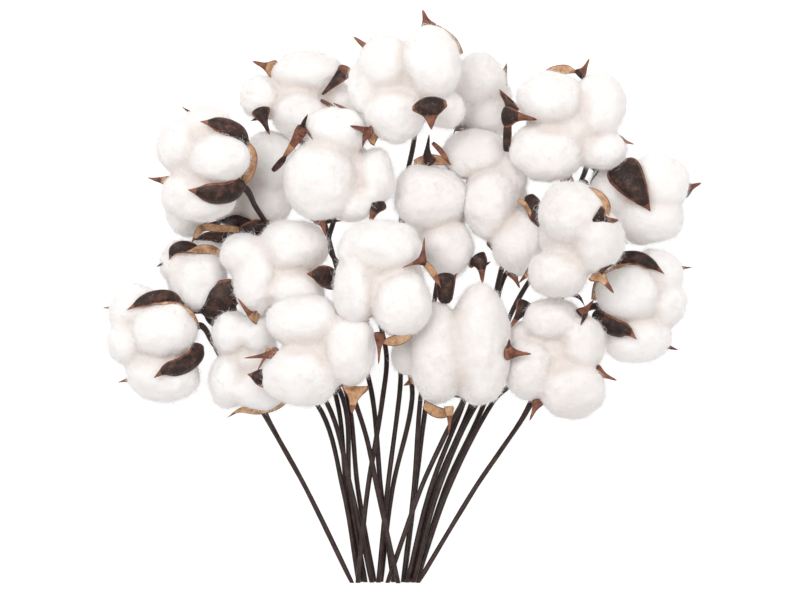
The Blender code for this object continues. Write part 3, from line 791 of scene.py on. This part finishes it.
def husk_material(name, stops, speck, speck_amount, roughness, bump=0.5):
    made, tree, shader = new_material(name)
    broad = noise_node(tree, 170.0, 6.0, 0.65)
    tint = ramp_node(tree, broad.outputs["Fac"], stops)
    fine = noise_node(tree, 700.0, 5.0, 0.7)
    speckled = [(0.60, (0, 0, 0)), (0.74, (speck_amount,) * 3)]
    mask = ramp_node(tree, fine.outputs["Fac"], speckled)
    mix = tree.nodes.new("ShaderNodeMix")
    mix.data_type = "RGBA"
    mix.inputs["B"].default_value = (*speck, 1.0)
    tree.links.new(mask.outputs["Color"], mix.inputs["Factor"])
    tree.links.new(tint.outputs["Color"], mix.inputs["A"])
    tree.links.new(mix.outputs["Result"], shader.inputs["Base Color"])
    ridge = noise_node(tree, 420.0, 6.0, 0.7)
    dent = bump_node(tree, ridge.outputs["Fac"], bump, 0.0008)
    tree.links.new(dent.outputs["Normal"], shader.inputs["Normal"])
    shader.inputs["Roughness"].default_value = roughness
    shader.inputs["Specular IOR Level"].default_value = 0.35
    return made


# Three copies of one cotton: a whiter one as painted light, the plain one, and a greyer one as
# painted shade.
COTTONS = {
    "painted_light": cotton_material("cotton_painted_light", (0.97, 0.95, 0.943), (0.945, 0.915, 0.902)),
    "plain": cotton_material("cotton_plain", (0.935, 0.91, 0.90), (0.905, 0.87, 0.854)),
    "painted_shade": cotton_material("cotton_painted_shade", (0.90, 0.87, 0.858), (0.865, 0.825, 0.808)),
}
# Bolls a little whiter or a little greyer than the rest: the whiter cotton is painted light and
# the greyer cotton is painted shade, lit and shaded copies of one cotton.
PAINTED_LIGHT_BOLLS = ("08", "13", "14", "19")
PAINTED_SHADE_BOLLS = ("09", "10", "11", "18", "20")
FIBRE = cotton_material("cotton_fibre", (0.95, 0.93, 0.922), (0.925, 0.895, 0.882))
OUTSIDE = husk_material(
    "burr_outside",
    [(0.30, (0.006, 0.004, 0.004)), (0.50, (0.028, 0.012, 0.009)), (0.72, (0.13, 0.055, 0.038))],
    (0.42, 0.36, 0.34),
    0.5,
    0.52,
)
INSIDE = husk_material(
    "burr_inside",
    [(0.30, (0.16, 0.062, 0.030)), (0.48, (0.46, 0.25, 0.125)), (0.72, (0.72, 0.49, 0.30))],
    (0.16, 0.08, 0.05),
    0.4,
    0.55,
)
MARGIN = husk_material(
    "burr_margin",
    [(0.30, (0.055, 0.018, 0.012)), (0.50, (0.20, 0.072, 0.042)), (0.74, (0.40, 0.18, 0.105))],
    (0.05, 0.02, 0.015),
    0.4,
    0.5,
)
BARK = husk_material(
    "stem_bark",
    [(0.28, (0.016, 0.009, 0.008)), (0.52, (0.040, 0.021, 0.018)), (0.78, (0.085, 0.045, 0.036))],
    (0.13, 0.085, 0.07),
    0.35,
    0.5,
    0.35,
)


# ---------------------------------------------------------------- bolls


def reach(locks, directions):
    """How far the joined locks reach from the middle of the boll along each direction."""
    directions = np.atleast_2d(directions)
    total = np.full(len(directions), LEAST_REACH**LOCK_BLEND)
    for middle, halves in locks:
        d = directions / np.array(halves, float)
        m = np.array(middle, float) / np.array(halves, float)
        squared = (d * d).sum(axis=1)
        along = d @ m
        inside = along**2 - squared * (m @ m - 1)
        far = (along + np.sqrt(np.maximum(inside, 0))) / squared
        total += np.where((inside > 0) & (far > 0), far, 0) ** LOCK_BLEND
    return total ** (1 / LOCK_BLEND)


def smooth_reach(locks, directions, angle=0.30):
    """The reach averaged over a small cone, as a stiff husk spans the grooves between locks."""
    directions = unit(np.atleast_2d(directions))
    helper = np.where(np.abs(directions[:, 2:3]) < 0.9, (0.0, 0.0, 1.0), (1.0, 0.0, 0.0))
    across = unit(np.cross(directions, helper))
    beside = np.cross(directions, across)
    total = reach(locks, directions)
    for k in range(10):
        turn = 2 * math.pi * k / 10
        lean = (across * math.cos(turn) + beside * math.sin(turn)) * math.tan(angle)
        total = total + reach(locks, unit(directions + lean))
    return total / 11


def cotton(number, pick):
    """All the locks of a boll as one soft body, with lumps of fibre raised on it."""
    shape = bmesh.new()
    for index, (middle, halves) in enumerate(pick["locks"]):
        made = bmesh.ops.create_icosphere(shape, subdivisions=4, radius=1)["verts"]
        local = np.array([v.co for v in made])
        lump = 1 + 0.055 * noise(local * 10 + np.array(middle), 6.0, number * 11 + index)
        points = (local * np.array(halves, float)) * lump[:, None] + np.array(middle, float)
        for vertex, point in zip(made, points):
            vertex.co = point
    mesh = bpy.data.meshes.new("rough")
    shape.to_mesh(mesh)
    shape.free()
    rough = bpy.data.objects.new("rough", mesh)
    bpy.context.scene.collection.objects.link(rough)
    remesh = rough.modifiers.new("Remesh", "REMESH")
    remesh.mode = "VOXEL"
    remesh.voxel_size = VOXEL
    smooth = rough.modifiers.new("Smooth", "SMOOTH")
    smooth.factor = 0.8
    smooth.iterations = SMOOTHINGS
    graph = bpy.context.evaluated_depsgraph_get()
    done = bpy.data.meshes.new_from_object(rough.evaluated_get(graph))
    bpy.data.objects.remove(rough)
    bpy.data.meshes.remove(mesh)
    count = len(done.vertices)
    points = np.empty(count * 3)
    normals = np.empty(count * 3)
    done.vertices.foreach_get("co", points)
    done.vertex_normals.foreach_get("vector", normals)
    points, normals = points.reshape(-1, 3), normals.reshape(-1, 3)
    faces = np.empty(len(done.polygons) * 4, np.int32)
    done.polygons.foreach_get("vertices", faces)
    faces = faces.reshape(-1, 4)
    bpy.data.meshes.remove(done)
    distance = np.linalg.norm(points, axis=1)
    # painted shade: how far each point lies below a smooth hull over the locks, used to darken the
    # grooves
    hull = smooth_reach(pick["locks"], points, 0.5)
    groove_shade = 0.55 * np.clip((hull - distance - 0.6) / 4.5, 0, 1)
    seed = number * 31
    rise = 1.1 * noise(points, 15.0, seed + 3) + 0.6 * noise(points, 7.0, seed)
    rise += 0.26 * noise(points, 3.2, seed + 1) + 0.07 * noise(points, 1.6, seed + 2)
    points = settled(points + normals * rise[:, None] + np.array(pick["at"], float))
    label = f"{number:02d}"
    # painted light or painted shade for the listed bolls: whiter cotton on some, greyer cotton on
    # others
    tint = "painted_light" if label in PAINTED_LIGHT_BOLLS else "painted_shade" if label in PAINTED_SHADE_BOLLS else "plain"
    made = make_object(f"locks_{label}", points, faces, [COTTONS[tint]])
    made.data.attributes.new("groove_shade", "FLOAT", "POINT").data.foreach_set("value", groove_shade)
    return made, points, normals


def fibres(number, points, normals):
    """Short loose fibres standing off the cotton, each a thin bent ribbon."""
    rng = np.random.default_rng(900 + number)
    chosen = rng.integers(0, len(points), FIBRES_PER_BOLL)
    root, normal = points[chosen], normals[chosen]
    spin = unit(rng.normal(size=(len(chosen), 3)))
    along = unit(np.cross(normal, spin))
    curl = unit(np.cross(normal, along) + 0.4 * rng.normal(size=(len(chosen), 3)))
    length = rng.uniform(1.6, 4.2, (len(chosen), 1))
    height = rng.uniform(0.2, 1.5, (len(chosen), 1)) ** 1.5
    stray = rng.random((len(chosen), 1)) < 0.12
    height = np.where(stray, 1.8 * height + 0.6, height)
    length = np.where(stray, 1.7 * length, length)
    one = root - 0.25 * normal
    two = root + normal * height * 0.8 + along * length * 0.45
    three = root + normal * height * rng.uniform(0.3, 1.2, (len(chosen), 1)) + along * length
    three = three + curl * length * 0.35
    width = unit(np.cross(three - one, spin)) * rng.uniform(0.035, 0.075, (len(chosen), 1))
    verts = np.stack([one - width, one + width, two - width, two + width, three], axis=1)
    base = np.arange(len(chosen))[:, None] * 5
    tris = np.array([[0, 1, 3], [0, 3, 2], [2, 3, 4]])
    faces = (base[:, :, None] + tris[None]).reshape(-1, 3)
    verts = settled(verts.reshape(-1, 3))
    return make_object(f"fibres_{number:02d}", verts, faces, [FIBRE], smooth=False)


# ---------------------------------------------------------------- burrs

ASKEW = (0.31, 0.52, 0.79)  # a direction that no foot has
VALVE_ROWS = 34
VALVE_COLUMNS = 15
CLEARANCE = 0.45
OUTWARD_BULGE, INWARD_BULGE = 0.42, -0.34  # in half widths
# Half widths in millimetres along a valve, at shares of its length.
SHAPES = {
    "leaf": (
        (0, 0.12, 0.3, 0.48, 0.62, 0.72, 0.80, 0.86, 0.91, 1),
        (6.2, 8.6, 10.2, 10.4, 9.6, 8.0, 5.4, 3.4, 2.2, 0.25),
    ),
    "thorn": (
        (0, 0.1, 0.24, 0.38, 0.52, 0.66, 0.82, 0.93, 1),
        (6.4, 6.8, 5.6, 3.8, 2.5, 1.8, 1.3, 0.8, 0.15),
    ),
    "fishtail": ((0, 0.3, 0.6, 0.82, 0.93, 1), (0.8, 2.2, 4.2, 6.2, 6.0, 1.0)),
    "blade": ((0, 0.15, 0.35, 0.55, 0.75, 0.9, 1), (5.0, 9.5, 11.5, 10.0, 7.0, 3.5, 0.8)),
    "horn": ((0, 0.4, 0.7, 1), (1.6, 1.2, 0.8, 0.15)),
    "box": ((0, 0.08, 0.3, 0.6, 0.85, 1), (4.6, 6.4, 6.0, 5.2, 4.4, 2.4)),
    "triangle": (
        (0, 0.06, 0.2, 0.4, 0.6, 0.78, 0.9, 1),
        (8.0, 9.6, 10.2, 8.8, 6.6, 4.0, 1.8, 0.2),
    ),
    "hood": (
        (0, 0.12, 0.3, 0.42, 0.55, 0.7, 0.85, 1),
        (8.0, 10.5, 11.0, 8.0, 4.6, 2.8, 1.7, 0.3),
    ),
}
# Thickness in millimetres along a valve.
THICK_AT = ((0, 0.5, 0.85, 0.93, 1), (1.0, 0.85, 0.9, 0.8, 0.15))


def shell(inner, outer, rows, columns, rim, horn):
    """A closed leaf from two grids of points, with slots for outside, inside and rim."""
    verts = np.concatenate([inner.reshape(-1, 3), outer.reshape(-1, 3)])
    shift = rows * columns
    faces, slots = [], []
    for i in range(rows - 1):
        for j in range(columns - 1):
            a, b = i * columns + j, (i + 1) * columns + j
            edge = j < rim or j >= columns - 1 - rim
            faces.append((a, b, b + 1, a + 1))
            slots.append(2 if edge or i >= horn else 1)
            faces.append((shift + a, shift + a + 1, shift + b + 1, shift + b))
            slots.append(2 if edge or i >= horn else 0)
    for i in range(rows - 1):
        for j, turned in ((0, False), (columns - 1, True)):
            a, b = i * columns + j, (i + 1) * columns + j
            quad = (a, shift + a, shift + b, b)
            faces.append(quad[::-1] if turned else quad)
            slots.append(2)
    for j in range(columns - 1):
        for i, turned in ((0, True), (rows - 1, False)):
            a = i * columns + j
            quad = (a, shift + a, shift + a + 1, a + 1)
            faces.append(quad[::-1] if turned else quad)
            slots.append(2)
    return verts, np.array(faces), np.array(slots)


def evenly(points, count):
    """The same route as this many points, a little closer together towards its end."""
    steps = np.linalg.norm(np.diff(points, axis=0), axis=1)
    travelled = np.concatenate([[0], np.cumsum(steps)])
    share = np.linspace(0, 1, count) ** 0.88
    wanted = share * travelled[-1]
    moved = [np.interp(wanted, travelled, points[:, k]) for k in range(3)]
    return share, np.stack(moved, axis=1)


def first_horn_row(shares, horn):
    return int(np.argmax(shares > horn)) if horn < 1 else VALVE_ROWS


def free_valve(number, index, spec):
    """A valve whose broad side looks a stated way, clear of the cotton."""
    line = [np.array(point, float) for point in spec["points"]]
    t, line = evenly(smooth_route(line, 8), VALVE_ROWS)
    heading = unit(np.gradient(line, axis=0))
    side = unit(np.cross(unit(spec["face"]), heading))
    top = np.cross(heading, side)
    half = np.interp(t, *SHAPES[spec["shape"]]) * spec["wide"]
    depth = np.interp(t, *THICK_AT) * np.clip(half / 2.5, 0.35, 1.1)
    half = half[:, None, None]
    u = np.linspace(-1, 1, VALVE_COLUMNS)[None, :, None]
    bulge = (INWARD_BULGE if spec["inside"] else OUTWARD_BULGE) * half * (1 - u**2)
    ripple = 0.35 * noise(line, 5.0, number * 17 + index)[:, None, None]
    ripple = ripple * np.clip(half / 5, 0, 1)
    sheet = line[:, None] + side[:, None] * half * u + top[:, None] * (bulge + ripple)
    solid = top[:, None] * depth[:, None, None] * (1 - 0.6 * np.abs(u) ** 3)
    horn = first_horn_row(t, spec["horn"])
    if spec["inside"]:
        inner, outer = (sheet + solid)[:, ::-1], sheet[:, ::-1]
    else:
        inner, outer = sheet, sheet + solid
    return shell(inner, outer, VALVE_ROWS, VALVE_COLUMNS, 1, horn)


def hugging_valve(number, index, locks, start, spec):
    """A valve that hugs the cotton from the burr's cup and lifts off it towards its tip."""
    *past, tip = spec["points"]
    way = [start] + [unit(p) * (smooth_reach(locks, p)[0] + CLEARANCE) for p in past]
    t, line = evenly(smooth_route([*way, np.array(tip, float)], 8), VALVE_ROWS)
    heading = unit(np.gradient(line, axis=0))
    side = unit(np.cross(unit(line), heading))
    half = np.interp(t, *SHAPES["leaf"]) * spec["wide"]
    slim = np.clip(half / 4, 0.25, 1)
    thick = np.interp(t, *THICK_AT)
    lift = np.clip((t - 0.70) / 0.22, 0, 1) ** 1.1
    u = np.linspace(-1, 1, VALVE_COLUMNS)
    inner = np.empty((VALVE_ROWS, VALVE_COLUMNS, 3))
    outer = np.empty_like(inner)
    for i in range(VALVE_ROWS):
        own = np.linalg.norm(line[i])
        across = unit(line[i] + side[i] * half[i] * u[:, None])
        surface = smooth_reach(locks, across, 0.22) + CLEARANCE
        hugging_at = np.maximum(0.55 * surface + 0.45 * own, surface - 0.2)
        far = hugging_at * (1 - lift[i]) + own * lift[i]
        far = far + 1.0 * (u**2) * slim[i] * (0.5 + lift[i])
        far = far + 0.3 * noise(across * 30, 4.0, number * 17 + index) * slim[i]
        inner[i] = across * far[:, None]
        depth = thick[i] * (1 - 0.6 * np.abs(u) ** 3) * slim[i] ** 0.3
        outer[i] = across * (far + depth)[:, None]
    horn = first_horn_row(t, HORN_FROM)
    return shell(inner, outer, VALVE_ROWS, VALVE_COLUMNS, 1, horn)


CUP_RADIUS = 5.0


def cup(locks, foot, number):
    """The bowl at the foot of the burr, drawn in to a knuckle where the stem joins."""
    rows, columns = 10, 28
    across = unit(np.cross(foot, ASKEW))
    beside = np.cross(foot, across)
    base_reach = smooth_reach(locks, foot)[0]
    inner = np.empty((rows, columns, 3))
    outer = np.empty_like(inner)
    turn = np.linspace(0, 2 * math.pi, columns, endpoint=False)
    ring = across * np.cos(turn)[:, None] + beside * np.sin(turn)[:, None]
    for i, width in enumerate(np.linspace(0.4, 10.5, rows)):
        way = unit(foot * base_reach + ring * width)
        far = 0.6 * smooth_reach(locks, way, 0.25) + 0.4 * base_reach + 0.4
        inner[i] = way * far[:, None]
        knuckle = 2.6 * math.exp(-((width / 3.0) ** 2))
        outer[i] = way * (far + 1.0 + knuckle + 0.2 * noise(way * 30, 4.0, number))[:, None]
    inner = np.concatenate([inner, inner[:, :1]], axis=1)
    outer = np.concatenate([outer, outer[:, :1]], axis=1)
    verts, faces, slots = shell(inner, outer, rows, columns + 1, 0, rows)
    slots = np.where(slots == 2, 0, slots)
    return verts, faces, slots, base_reach


def burr(number, pick):
    """The cup and the valves of one burr as one piece, and how far its foot is from the middle."""
    locks = pick["locks"]
    foot = unit(pick["foot"])
    across = unit(np.cross(foot, ASKEW))
    beside = np.cross(foot, across)
    verts, faces, slots, base_reach = cup(locks, foot, number)
    all_verts, all_faces, all_slots = [verts], [faces], [slots]
    count = len(verts)
    for index, spec in enumerate(VALVES[f"{number:02d}"]):
        if spec["hugs"]:
            toward = np.array(spec["points"][0], float)
            out = unit(across * (toward @ across) + beside * (toward @ beside))
            start = foot * base_reach + out * CUP_RADIUS
            verts, faces, slots = hugging_valve(number, index, locks, start, spec)
        else:
            verts, faces, slots = free_valve(number, index, spec)
        all_verts.append(verts)
        all_faces.append(faces + count)
        all_slots.append(slots)
        count += len(verts)
    verts = settled(np.concatenate(all_verts) + np.array(pick["at"], float))
    made = make_object(
        f"husk_{number:02d}",
        verts,
        np.concatenate(all_faces),
        [OUTSIDE, INSIDE, MARGIN],
        np.concatenate(all_slots),
    )
    return made, base_reach


# ---------------------------------------------------------------- stems

STEM_RADIUS = 1.5
STEM_END_Y = -171.5


def stem(number, pick, base_reach):
    """A round stalk with slow swellings, from inside the burr's knuckle to the cut end."""
    at = np.array(pick["at"], float)
    foot = unit(pick["foot"])
    end_x, end_z = pick["end"]
    points = [at + foot * (base_reach + 1.0), at + foot * (base_reach + 7.5)]
    points += [np.array(p, float) for p in pick["route"]]
    points.append(np.array((end_x, STEM_END_Y, end_z)))
    route = smooth_route(points, 9)
    tangent = unit(np.gradient(route, axis=0))
    helper = np.array((0.0, 0.0, 1.0))
    across = unit(np.cross(tangent, helper))
    beside = np.cross(tangent, across)
    sides = 14
    turn = np.linspace(0, 2 * math.pi, sides, endpoint=False)
    steps = np.linalg.norm(np.diff(route, axis=0), axis=1)
    travelled = np.concatenate([[0], np.cumsum(steps)])
    swelling = 0.06 * noise(route, 14.0, number) + 0.03 * noise(route, 4.0, number + 50)
    radius = STEM_RADIUS * (1 + swelling)
    radius = radius + 1.3 * np.exp(-travelled / 8.0)
    radius[-1] = STEM_RADIUS
    cosine, sine = np.cos(turn)[None, :, None], np.sin(turn)[None, :, None]
    ring = across[:, None] * cosine + beside[:, None] * sine
    rings = route[:, None] + radius[:, None, None] * ring
    rings[-1, :, 1] = STEM_END_Y
    rings[:, :, 2] = np.maximum(rings[:, :, 2], LOWEST)
    verts = rings.reshape(-1, 3)
    rows = len(route)
    faces = []
    for i in range(rows - 1):
        for j in range(sides):
            a, b = i * sides + j, i * sides + (j + 1) % sides
            faces.append((a, b, b + sides, a + sides))
    first, last = len(verts), len(verts) + 1
    verts = np.concatenate([verts, [route[0]], [rings[-1].mean(axis=0)]])
    top = (rows - 1) * sides
    for j in range(0, sides, 2):
        faces.append((first, (j + 2) % sides, j + 1, j))
        faces.append((last, top + j, top + j + 1, top + (j + 2) % sides))
    return make_object(f"stalk_{number:02d}", verts, np.array(faces), [BARK])


for label, pick in PICKS.items():
    number = int(label)
    boll, points, normals = cotton(number, pick)
    fuzz = fibres(number, points, normals)
    husk, base_reach = burr(number, pick)
    stalk = stem(number, pick, base_reach)
    for piece, node, slot in (
        (boll, "cotton", "cotton"),
        (fuzz, "cotton", "cotton"),
        (husk, "burr", "burr"),
        (stalk, "stem", "stem"),
    ):
        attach(piece, "root")
        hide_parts(f"{node}_{label}")


# ---------------------------------------------------------------- floor, light and camera


def build_floor():
    """A white floor that gives most of its light itself, so that it shows hardly any shadow."""
    bpy.ops.mesh.primitive_plane_add(size=12.0, location=(0, 0, -0.0002))
    floor = bpy.context.object
    floor.name = "floor"
    made, tree, shader = new_material("floor_white")
    grain = noise_node(tree, 3.0, 2.0, 0.5)
    tint = ramp_node(tree, grain.outputs["Fac"], [(0.3, (0.25,) * 3), (0.7, (0.27,) * 3)])
    tree.links.new(tint.outputs["Color"], shader.inputs["Base Color"])
    shader.inputs["Roughness"].default_value = 0.9
    shader.inputs["Specular IOR Level"].default_value = 0.1
    shader.inputs["Emission Color"].default_value = (1, 1, 1, 1)
    shader.inputs["Emission Strength"].default_value = 0.9
    floor.data.materials.append(made)


def build_light():
    """Soft light from all round, a large key light at the upper left and a weak fill."""
    world = bpy.data.worlds.new("studio")
    bpy.context.scene.world = world
    world.use_nodes = True
    background = world.node_tree.nodes["Background"]
    background.inputs["Color"].default_value = (1.0, 0.955, 0.928, 1)
    background.inputs["Strength"].default_value = 0.56

    def area(name, place, size, power, target=(0, 0.03, 0.04)):
        light = bpy.data.lights.new(name, "AREA")
        light.shape = "SQUARE"
        light.size = size
        light.energy = power
        light.color = (0.975, 0.997, 1.0)
        made = bpy.data.objects.new(name, light)
        bpy.context.scene.collection.objects.link(made)
        made.location = place
        aim = Vector(target) - Vector(place)
        made.rotation_euler = aim.to_track_quat("-Z", "Y").to_euler()

    area("key", (-0.42, 0.55, 1.5), 1.1, 15.5)
    area("fill", (0.9, 0.1, 1.1), 1.0, 3.4)


CAMERA_PLACE = (0.00005, 0.00088, 2.7067)


def build_camera():
    """Straight above the bunch, looking down, with the bolls at the picture's top."""
    data = bpy.data.cameras.new("camera")
    data.lens = 200.0
    data.sensor_width = 36.0
    data.clip_end = 50.0
    made = bpy.data.objects.new("camera", data)
    bpy.context.scene.collection.objects.link(made)
    made.location = CAMERA_PLACE
    made.rotation_euler = (0, 0, 0)
    bpy.context.scene.camera = made


build_floor()
build_light()
build_camera()
bpy.context.scene.view_settings.view_transform = "Standard"
bpy.context.scene.view_settings.look = "None"
